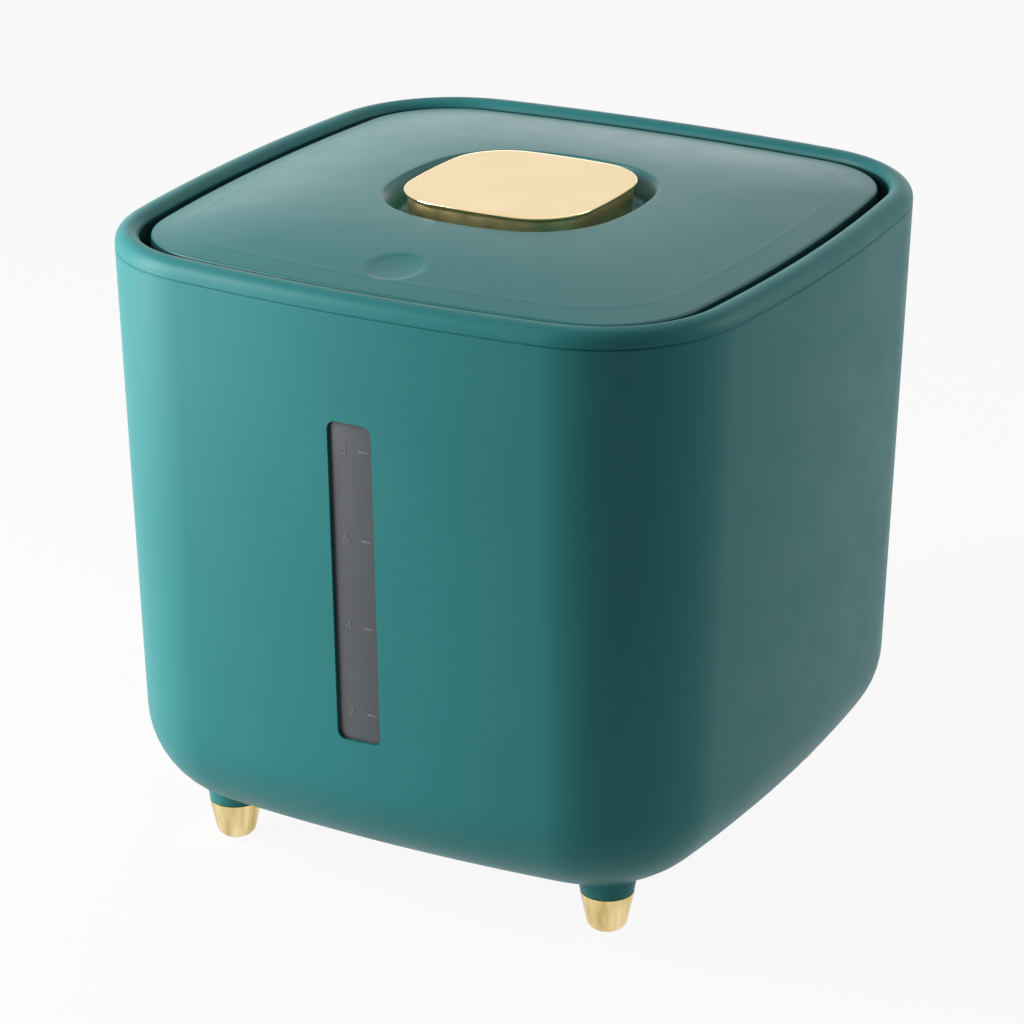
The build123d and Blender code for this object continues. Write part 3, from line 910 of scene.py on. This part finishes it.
@dataclass
class Collar:
    """The rim ring with its ledge, hinge ears and latch bosses."""

    material: Material
    # Darker copy of the teal that paints shade on the inner wall in the gap
    shade: Material
    rise: float = 6.7 * MM
    rounding: float = 5.4 * MM
    round_steps: int = 12
    inner_rounding: float = 4.0 * MM
    wall: float = 2.4 * MM
    wall_drop: float = 4.0 * MM
    seat_gap: float = 0.2 * MM
    shade_drop: float = 3.0 * MM
    ledge_drop: float = 11.0 * MM
    ledge_thick: float = 2.5 * MM
    ledge_inset: float = 22.0 * MM
    ledge_lip: float = 5.0 * MM
    root_far: float = 1.0 * MM
    root_near: float = 0.3 * MM
    edge_far: float = 0.8 * MM
    edge_near: float = 0.2 * MM
    chamfer: float = 0.6 * MM
    ear_stem: float = 5.0 * MM
    ear_thick: float = 3.0 * MM
    ear_spread: float = 8.0 * MM
    ear_edge: float = 0.3 * MM
    boss_radius: float = 3.0 * MM
    boss_height: float = 4.5 * MM
    boss_sink: float = 0.5 * MM
    boss_edge: float = 0.4 * MM
    boss_bore: float = 1.35 * MM
    boss_x: float = 13.0 * MM
    boss_segments: int = 48
    neck_hole: float = 3.8 * MM
    neck_below: float = 6.0 * MM
    neck_above: float = 3.0 * MM
    neck_segments: int = 64

    def section(self) -> list[Station]:
        """Return the ring's closed section, once round from the seam.

        Returns:
            Outlines and heights in order.
        """
        top = SEAM_Z + self.rise
        roof = top - self.wall
        ledge = SEAM_Z - self.ledge_drop
        under = ledge - self.ledge_thick
        stations: list[Station] = [
            (SEAM_OUTLINE.inset(self.chamfer), SEAM_Z),
            (SEAM_OUTLINE, SEAM_Z + self.chamfer),
        ]
        for inset, drop in quarter(self.round_steps):
            stations.append((SEAM_OUTLINE.inset(self.rounding * inset), top - self.rounding * drop))
        for drop, grow in quarter(CORNER_STEPS):
            outline = LID_OUTLINE.inset(-LID_GAP - self.inner_rounding * grow)
            stations.append((outline, top - self.inner_rounding * drop))
        lip, lip_base = self.ledge_inset, under - self.ledge_lip
        profile = (
            (-LID_GAP, SEAM_Z - self.wall_drop),
            (-LID_GAP, ledge + self.root_far),
            (-LID_GAP + self.root_near, ledge + self.root_near),
            (-LID_GAP + self.root_far, ledge),
            (lip - self.edge_far, ledge),
            (lip - self.edge_near, ledge - self.edge_near),
            (lip, ledge - self.edge_far),
            (lip, lip_base),
            (lip - self.wall, lip_base),
            (lip - self.wall, under),
            (-LID_GAP - self.wall, under),
            (-LID_GAP - self.wall, roof),
        )
        stations += [(LID_OUTLINE.inset(inset), height) for inset, height in profile]
        stations += [(SEAM_OUTLINE.inset(WALL + self.seat_gap), height) for height in (roof, SEAM_Z)]
        return stations

    def ear(self, x: float) -> Piece:
        """Return one hinge ear that stands on the ledge.

        Args:
            x: Low side of the ear along X.

        Returns:
            The new piece.
        """
        foot = SEAM_Z - self.ledge_drop - self.ledge_thick / 2
        head = AXIS_Z + self.ear_stem / 2
        middle = Vector((x + self.ear_thick / 2, AXIS_Y, (foot + head) / 2))
        ear = block("ear", middle, Vector((self.ear_thick, self.ear_stem, head - foot)))
        radius = self.ear_stem / 2 - ROUND_SPARE
        bevel_edges(ear, ALONG_X, radius, PIVOT_STEPS, (AXIS_Z, SEAM_Z + self.rise))
        soften(ear, self.ear_edge)
        return ear

    def boss(self, x: float) -> Piece:
        """Return one bored screw boss on the ledge.

        Args:
            x: Place along X.

        Returns:
            The new piece.
        """
        low = SEAM_Z - self.ledge_drop - self.boss_sink
        high = SEAM_Z - self.ledge_drop + self.boss_height
        levels = [
            (Disc(self.boss_radius), low),
            (Disc(self.boss_radius), high - self.boss_edge),
            (Disc(self.boss_radius - self.boss_edge), high),
            (Disc(self.boss_bore), high),
            (Disc(self.boss_bore), low),
        ]
        return ring_loft("boss", levels, (x, LATCH_Y), self.boss_segments, looped=True)

    def build(self) -> None:
        """Model and dress the collar, with painted shade on its inner wall down in the gap."""
        piece = ring_loft("collar_rim", self.section(), looped=True)
        ledge = SEAM_Z - self.ledge_drop
        hole = [(Disc(self.neck_hole), ledge + level) for level in (-self.neck_below, self.neck_above)]
        cut(piece, ring_loft("neck_tool", hole, (0, LATCH_Y), self.neck_segments))
        extras = [self.boss(-self.boss_x), self.boss(self.boss_x)]
        for hinge in (-HINGE_X, HINGE_X):
            extras.append(self.ear(hinge - self.ear_spread - self.ear_thick))
            extras.append(self.ear(hinge + self.ear_spread))
        join(piece, extras)
        smooth(piece)
        settle(piece, self.material, Body.BASE, Slot.BODY, "collar_ring")
        # Paint shade on the upright faces down in the gap
        paint_gap_shade(piece, self.shade, ledge, SEAM_Z + self.rise - self.shade_drop, LID_GAP)


@dataclass
class LidShell:
    """The crowned lid with its hand recess, press spot and hinge knuckles."""

    # The lid's teal: a darker copy of the body's that paints shade on the lid's top
    material: Material
    # Darker copy of the teal that paints shade on the skirt in the gap
    shade: Material
    skirt_base: float = -3.2 * MM
    skirt_edge: float = 0.4 * MM
    edge_low: float = 3.1 * MM
    edge_high: float = 4.7 * MM
    edge_inset: float = 1.6 * MM
    crown_top: float = 11.3 * MM
    crown_power: float = 1.8
    crown_steps: int = 90
    wall: float = 2.4 * MM
    under_edge: float = 1.2 * MM
    under_shares: tuple[float, ...] = (0.08, 0.15, 0.3, 0.5, 0.7, 0.92)
    recess_depth: float = 10.0 * MM
    recess_slope: float = 3.6 * MM
    recess_round: float = 1.1 * MM
    recess_root: float = 2.4 * MM
    recess_steps: int = 6
    dish_y: float = -92.4 * MM
    dish_radius: float = 11.4 * MM
    dish_depth: float = 1.15 * MM
    dish_rim: float = 3.0 * MM
    bowl_share: float = 0.75
    bead_inset: float = 11.0 * MM
    bead_height: float = 0.1 * MM
    bead_width: float = 1.0 * MM
    notch_half: float = 13.0 * MM
    notch_top: float = 2.3 * MM
    notch_back: float = 3.9 * MM
    notch_reach: float = 12.0 * MM
    notch_spare: float = 1.0 * MM
    knuckle_radius: float = 2.9 * MM
    knuckle_start: float = -7.6 * MM
    knuckle_width: float = 7.0 * MM
    knuckle_top: float = 4.6 * MM
    knuckle_edge: float = 0.25 * MM
    shade_rise: float = 0.9 * MM

    def crown(self, inset: float) -> float:
        """Return the height of the crown in the frame.

        Args:
            inset: Distance inwards from the lid's edge.

        Returns:
            The height.
        """
        share = max(inset - self.edge_inset, 0.0) / (LID_SPAN - self.edge_inset)
        rise = (self.crown_top - self.edge_high) * (1 - (1 - share) ** self.crown_power)
        bead = self.bead_height * math.exp(-(((inset - self.bead_inset) / self.bead_width) ** 2))
        return SEAM_Z + (self.edge_high + rise + bead)

    def section(self) -> list[Station]:
        """Return the lid's section, from the recess floor out and back under.

        Returns:
            Outlines and heights in order.
        """
        top = SEAM_Z + self.crown_top
        floor = top - self.recess_depth
        base = SEAM_Z + self.skirt_base
        stations: list[Station] = []
        for rise, fall in quarter(self.recess_steps):
            outline = RECESS_OUTLINE.inset(self.recess_slope + self.recess_root * fall)
            stations.append((outline, floor + self.recess_root * rise))
        slant = self.recess_round * self.recess_slope / self.recess_depth
        stations.append((RECESS_OUTLINE.inset(slant), top - self.recess_round))
        for share, fall in quarter(self.recess_steps)[1:-1]:
            grow = self.recess_round * share
            height = self.crown(LID_SPAN - grow) - self.recess_round * fall
            stations.append((RECESS_OUTLINE.inset(-grow), height))
        first = LID_SPAN - self.recess_round
        for step in range(self.crown_steps + 1):
            inset = first + (self.edge_inset - first) * step / self.crown_steps
            outline = LID_OUTLINE.towards(RECESS_OUTLINE, inset / LID_SPAN)
            stations.append((outline, self.crown(inset)))
        for share, fall in quarter(CORNER_STEPS)[1:]:
            drop = (self.edge_high - self.edge_low) * share
            stations.append((LID_OUTLINE.inset(self.edge_inset * fall), SEAM_Z + self.edge_high - drop))
        stations += [
            (LID_OUTLINE, base + self.skirt_edge),
            (LID_OUTLINE.inset(self.skirt_edge), base),
            (LID_OUTLINE.inset(self.wall), base),
            (LID_OUTLINE.inset(self.wall), SEAM_Z + self.under_edge),
        ]
        for share in self.under_shares:
            outline = LID_OUTLINE.towards(RECESS_OUTLINE, share)
            stations.append((outline, self.crown(LID_SPAN * share) - self.wall))
        stations.append((RECESS_OUTLINE.inset(self.recess_slope - self.wall), floor - self.wall))
        return stations

    def press_spot(self, piece: Piece) -> None:
        """Sink the shallow press spot into the crown.

        Args:
            piece: The lid's mesh.
        """
        low = SEAM_Z + self.edge_low
        for vertex in piece.data.vertices:
            away = math.hypot(vertex.co.x, vertex.co.y - self.dish_y)
            if away < self.dish_radius and vertex.normal.z > WALL_NORMAL and vertex.co.z > low:
                bowl = 1 - (away / self.dish_radius) ** 2
                edge = min((self.dish_radius - away) / self.dish_rim, 1.0)
                step = edge * edge * (3 - 2 * edge)
                vertex.co.z -= self.dish_depth * (self.bowl_share * bowl + (1 - self.bowl_share) * step)

    def knuckle(self, hinge: float) -> Piece:
        """Return one hinge knuckle that hangs under the crown.

        Args:
            hinge: Middle of the hinge along X.

        Returns:
            The new piece.
        """
        side = math.copysign(1.0, hinge)
        middle = hinge + side * (self.knuckle_start + self.knuckle_width / 2)
        high = SEAM_Z + self.knuckle_top
        low = AXIS_Z - self.knuckle_radius
        size = Vector((self.knuckle_width, 2 * self.knuckle_radius, high - low))
        knuckle = block("knuckle", Vector((middle, AXIS_Y, (high + low) / 2)), size)
        radius = self.knuckle_radius - ROUND_SPARE
        bevel_edges(knuckle, ALONG_X, radius, PIVOT_STEPS, (0.0, AXIS_Z))
        soften(knuckle, self.knuckle_edge)
        return knuckle

    def build(self) -> None:
        """Model and dress the lid, with painted shade on its skirt down in the gap."""
        piece = ring_loft("lid_crown", self.section())
        self.press_spot(piece)
        low = SEAM_Z + self.skirt_base - self.notch_spare
        high = SEAM_Z + self.notch_top
        back = AXIS_Y + self.notch_back + self.notch_reach / 2
        size = Vector((2 * self.notch_half, self.notch_reach, high - low))
        for hinge in (-HINGE_X, HINGE_X):
            cut(piece, block("notch_tool", Vector((hinge, back, (low + high) / 2)), size))
        join(piece, [self.knuckle(-HINGE_X), self.knuckle(HINGE_X)])
        smooth(piece)
        settle(piece, self.material, Body.LID, Slot.BODY, "lid_shell")
        shade_top = SEAM_Z + self.edge_low + self.shade_rise
        # Paint shade on the skirt's faces down in the gap
        paint_gap_shade(piece, self.shade, SEAM_Z + self.skirt_base, shade_top, 0.0)


@dataclass
class Grip:
    """The gold grip that stands in the hand recess."""

    material: Material
    # Satin gold for the side wall: real satin roughness, and a darker tone that paints in its dark
    # reflection
    wall: Material
    base: float = 1.3 * MM
    top: float = 13.8 * MM
    top_rim: float = 1.5 * MM
    bevel: float = 0.45 * MM
    bevel_steps: int = 5
    lip: float = 1.0 * MM
    lip_round: float = 0.15 * MM
    undercut: float = 1.3 * MM
    taper: float = 0.5 * MM
    foot: float = 0.5 * MM
    flat_normal: float = 0.9
    segments: int = 256

    def build(self) -> None:
        """Model and dress the grip, with satin, darker gold below its lip that paints in the side wall's
        dark reflection.
        """
        low, high = SEAM_Z + self.base, SEAM_Z + self.top
        lip = high - self.lip
        stations: list[Station] = [
            (GRIP_OUTLINE.inset(self.undercut + self.taper + self.foot), low),
            (GRIP_OUTLINE.inset(self.undercut + self.taper), low + self.foot),
            (GRIP_OUTLINE.inset(self.undercut), lip - self.undercut),
            (GRIP_OUTLINE.inset(self.lip_round), lip - self.lip_round),
            (GRIP_OUTLINE, lip),
        ]
        for inset, drop in quarter(self.bevel_steps):
            stations.append((GRIP_OUTLINE.inset(self.bevel * inset), high - self.bevel * drop))
        stations.append((GRIP_OUTLINE.inset(self.bevel + self.top_rim), high))
        piece = ring_loft("grip_block", stations, segments=self.segments)
        settle(piece, self.material, Body.LID, Slot.GOLD, "grip_cap")
        # Side faces below the lip get the darker satin gold that paints in a dark reflection
        piece.data.materials.append(self.wall)
        for face in piece.data.polygons:
            if face.center.z < lip and abs(face.normal.z) < self.flat_normal:
                face.material_index = 1


@dataclass
class PressSpring:
    """The coil under the latch plunger."""

    material: Material
    wire: float = 0.35 * MM
    turns: float = 8.0
    steps: int = 24
    sides: int = 10
    travel: float = 3.0 * MM
    smooth: float = math.radians(50.0)

    def build(self) -> None:
        """Model, dress and tie the coil."""
        low, high = (Vector(corner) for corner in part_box("latch_spring"))
        middle = (low + high) / 2
        length = high.z - low.z
        mean = (high.x - low.x) / 2 - self.wire
        count = round(self.turns * self.steps)
        climb = (length - 2 * self.wire) / count
        clear()
        bpy.ops.mesh.primitive_circle_add(
            vertices=self.sides, radius=self.wire, location=(0, 0, 0), rotation=(math.pi / 2, 0, 0)
        )
        piece = bpy.context.object
        piece.name = "press_coil"
        piece.location = (middle.x + mean, middle.y, low.z + self.wire)
        bpy.ops.object.transform_apply(location=True, rotation=True, scale=True)
        bpy.ops.object.mode_set(mode="EDIT")
        bpy.ops.mesh.select_all(action="SELECT")
        bpy.ops.mesh.edge_face_add()
        for _ in range(count):
            bpy.ops.mesh.extrude_region_move()
            bpy.ops.transform.rotate(
                value=2 * math.pi / self.steps, orient_axis="Z", center_override=middle
            )
            bpy.ops.transform.translate(value=(0, 0, climb))
        bpy.ops.mesh.select_all(action="SELECT")
        bpy.ops.mesh.normals_make_consistent(inside=False)
        bpy.ops.object.mode_set(mode="OBJECT")
        smooth(piece, self.smooth)
        settle(piece, self.material, Body.BASE, Slot.STEEL, "latch_spring")
        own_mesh(piece)


@dataclass
class InnerWorks:
    """The CAD nodes that stay as they are and get their finishes."""

    plastic: Material
    black: Material
    steel: Material
    silicone: Material

    def build(self) -> None:
        """Dress the nodes that no new piece replaces."""
        finishes = {
            "lid_liner": self.plastic,
            "lid_seal": self.silicone,
            "latch_housing": self.black,
            "latch_plunger": self.black,
        }
        bare = ("lid_screws", "grip_screws", "latch_screws", "hinge_pin_left", "hinge_pin_right")
        sprung = ("hinge_spring_left", "hinge_spring_right", "latch_magnet", "strike_plate")
        finishes.update({name: self.steel for name in (*bare, *sprung)})
        for name, material in finishes.items():
            dress(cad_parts[name], material)
            LOG.info("%s: dressed", name)


# Soft rectangular lamps: name, place, width and height, watts
SOFTBOXES = (
    ("left_softbox", (-0.62, -0.42, 0.46), (0.4, 0.6), 10.0),
    ("low_strip", (-0.55, -0.36, 0.08), (0.5, 0.13), 1.3),
    ("right_softbox", (1.0, 0.6, 0.5), (0.6, 0.8), 4.2),
    ("back_softbox", (-0.6, 1.3, 0.38), (1.6, 0.3), 1.6),
    ("top_softbox", (0.15, 0.5, 1.25), (1.1, 0.9), 2.0),
)


@dataclass
class Studio:
    """Pale floor, soft lamps and the camera at the photograph's angle."""

    camera_place: Triple = (0.6452, -1.1859, 0.6623)
    camera_aim: Triple = (0.0, 0.0, 0.1203)
    lens: float = 132.63
    sensor: float = 36.0
    shift: Place = (-0.00886, 0.00106)
    floor_size: float = 30.0
    floor_grey: float = 0.55
    floor_rough: float = 0.9
    floor_white: float = 0.92
    ambient: float = 0.08
    ambient_tone: Triple = (0.97, 0.985, 1.0)

    def shown_white(self, tree: bpy.types.NodeTree) -> Socket:
        """Return 1 for rays that see the background, straight or in a mirror.

        Args:
            tree: Node tree to add to.

        Returns:
            The value socket.
        """
        path = tree.nodes.new("ShaderNodeLightPath")
        total = path.outputs["Is Camera Ray"]
        for kind in ("Is Glossy Ray", "Is Transmission Ray"):
            either = tree.nodes.new("ShaderNodeMath")
            either.operation = "ADD"
            either.use_clamp = True
            tree.links.new(total, either.inputs[0])
            tree.links.new(path.outputs[kind], either.inputs[1])
            total = either.outputs[0]
        return total

    def mix(self, tree: bpy.types.NodeTree, share: Socket, shaders: Sequence[Socket], end: Socket) -> None:
        """Mix two shaders into the end of a node tree.

        Args:
            tree: Node tree to add to.
            share: Share of the second shader.
            shaders: The two shaders.
            end: Input that takes the mixed shader.
        """
        mix = tree.nodes.new("ShaderNodeMixShader")
        tree.links.new(share, mix.inputs["Fac"])
        tree.links.new(shaders[0], mix.inputs[1])
        tree.links.new(shaders[1], mix.inputs[2])
        tree.links.new(mix.outputs[0], end)

    def world(self) -> None:
        """Make a world that looks white and lights softly."""
        world = bpy.data.worlds.new("studio_world")
        bpy.context.scene.world = world
        world.use_nodes = True
        tree = world.node_tree
        light = tree.nodes["Background"]
        light.inputs["Color"].default_value = (*self.ambient_tone, 1.0)
        light.inputs["Strength"].default_value = self.ambient
        white = tree.nodes.new("ShaderNodeBackground")
        white.inputs["Color"].default_value = (1.0, 1.0, 1.0, 1.0)
        white.inputs["Strength"].default_value = 1.0
        end = tree.nodes["World Output"].inputs["Surface"]
        self.mix(tree, self.shown_white(tree), (light.outputs[0], white.outputs[0]), end)

    def floor(self) -> None:
        """Lay the pale floor, which keeps the object's shadow."""
        clear()
        bpy.ops.mesh.primitive_plane_add(size=self.floor_size, location=(0, 0, 0))
        plane = bpy.context.object
        plane.name = "studio_floor"
        web = Web("pale_floor")
        web.set("Base Color", (self.floor_grey, self.floor_grey, self.floor_grey, 1.0))
        web.set("Roughness", self.floor_rough)
        tree = web.material.node_tree
        glow = tree.nodes.new("ShaderNodeEmission")
        glow.inputs["Strength"].default_value = 1.0
        share = tree.nodes.new("ShaderNodeMath")
        share.operation = "MULTIPLY"
        share.inputs[1].default_value = self.floor_white
        tree.links.new(self.shown_white(tree), share.inputs[0])
        end = tree.nodes["Material Output"].inputs["Surface"]
        self.mix(tree, share.outputs[0], (web.shader.outputs[0], glow.outputs[0]), end)
        dress(plane, web.material)

    def aim(self, name: str, data: bpy.types.ID, place: Triple) -> Piece:
        """Put a lamp or camera in the scene, facing the container.

        Args:
            name: Name of the new object.
            data: The lamp or camera.
            place: Where it stands.

        Returns:
            The new object.
        """
        thing = bpy.data.objects.new(name, data)
        bpy.context.scene.collection.objects.link(thing)
        thing.location = place
        look = Vector(self.camera_aim) - Vector(place)
        thing.rotation_euler = look.to_track_quat("-Z", "Y").to_euler()
        return thing

    def camera(self) -> None:
        """Set the camera where the photograph was taken."""
        data = bpy.data.cameras.new("photo_camera")
        data.lens = self.lens
        data.sensor_width = self.sensor
        data.shift_x, data.shift_y = self.shift
        bpy.context.scene.camera = self.aim("photo_camera", data, self.camera_place)

    def build(self) -> None:
        """Set up the whole studio."""
        bpy.context.scene.view_settings.view_transform = "Standard"
        self.world()
        self.floor()
        for name, place, size, power in SOFTBOXES:
            data = bpy.data.lights.new(name, "AREA")
            data.shape = "RECTANGLE"
            data.size, data.size_y = size
            data.energy = power
            self.aim(name, data, place)
        self.camera()


def main() -> None:
    """Build every piece in order, then the studio."""
    logging.basicConfig(level=logging.INFO, format="%(name)s %(message)s")
    teal = MouldedPlastic("teal_plastic", (0.021, 0.182, 0.185), (0.025, 0.198, 0.2), 0.4, 0.47, 1.29)
    # A darker copy of the body's teal that paints shade on the lid's top; its higher IOR gives it more
    # sheen
    lid_teal_painted_shade = MouldedPlastic("lid_teal_painted_shade", (0.017, 0.164, 0.167), (0.02, 0.174, 0.177), 0.35, 0.39, 1.38)
    # Darker copy of the body's teal that paints the shade down in the gap round the lid
    painted_gap_shade_teal = MouldedPlastic("gap_painted_shade", (0.005, 0.045, 0.045), (0.007, 0.055, 0.055), 0.5, 0.6, 1.25)
    inner = MouldedPlastic("inner_teal", (0.013, 0.16, 0.163), (0.016, 0.18, 0.183), 0.42, 0.55, 1.4)
    black = MouldedPlastic("black_plastic", (0.014, 0.014, 0.015), (0.022, 0.022, 0.024), 0.35, 0.5, 1.45)
    smoked = MouldedPlastic("smoked_pane", (0.083, 0.088, 0.096), (0.096, 0.102, 0.11), 0.2, 0.3, 1.4)
    marks = MouldedPlastic("scale_marks", (0.13, 0.135, 0.143), (0.15, 0.155, 0.163), 0.4, 0.5, 1.4)
    gold = PlatedGold("pale_gold", (0.86, 0.65, 0.33), (0.9, 0.7, 0.39), 0.06, 0.11)
    # Gold whose dark upright streaks paint in reflections on the foot caps
    gold_painted_reflection_streaks = PlatedGold("gold_painted_reflection_streaks", (0.52, 0.37, 0.12), (0.9, 0.72, 0.38), 0.07, 0.12, 210.0, 0.05)
    # Satin gold, darker to paint in the dark reflection on the grip's side wall
    satin_gold_painted_reflection = PlatedGold("satin_gold_painted_reflection", (0.8, 0.58, 0.28), (0.88, 0.66, 0.34), 0.3, 0.42)
    steel = BrightSteel("bright_steel", (0.42, 0.42, 0.43), (0.62, 0.62, 0.63), 0.22, 0.4, (0.1, 1.0, 1.0))
    silicone = SoftSilicone("seal_silicone", (0.62, 0.63, 0.62), (0.74, 0.75, 0.74), 0.45, 0.62)
    body_plastic, painted_gap_shade, bright_steel = teal.build(), painted_gap_shade_teal.build(), steel.build()
    Tub(body_plastic).build()
    FootCaps(gold_painted_reflection_streaks.build()).build()
    LevelWindow(smoked.build(), marks.build()).build()
    Collar(body_plastic, painted_gap_shade).build()
    LidShell(lid_teal_painted_shade.build(), painted_gap_shade).build()
    Grip(gold.build(), satin_gold_painted_reflection.build()).build()
    PressSpring(bright_steel).build()
    InnerWorks(inner.build(), black.build(), bright_steel, silicone.build()).build()
    Studio().build()
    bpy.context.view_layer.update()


if __name__ == "__main__":
    main()
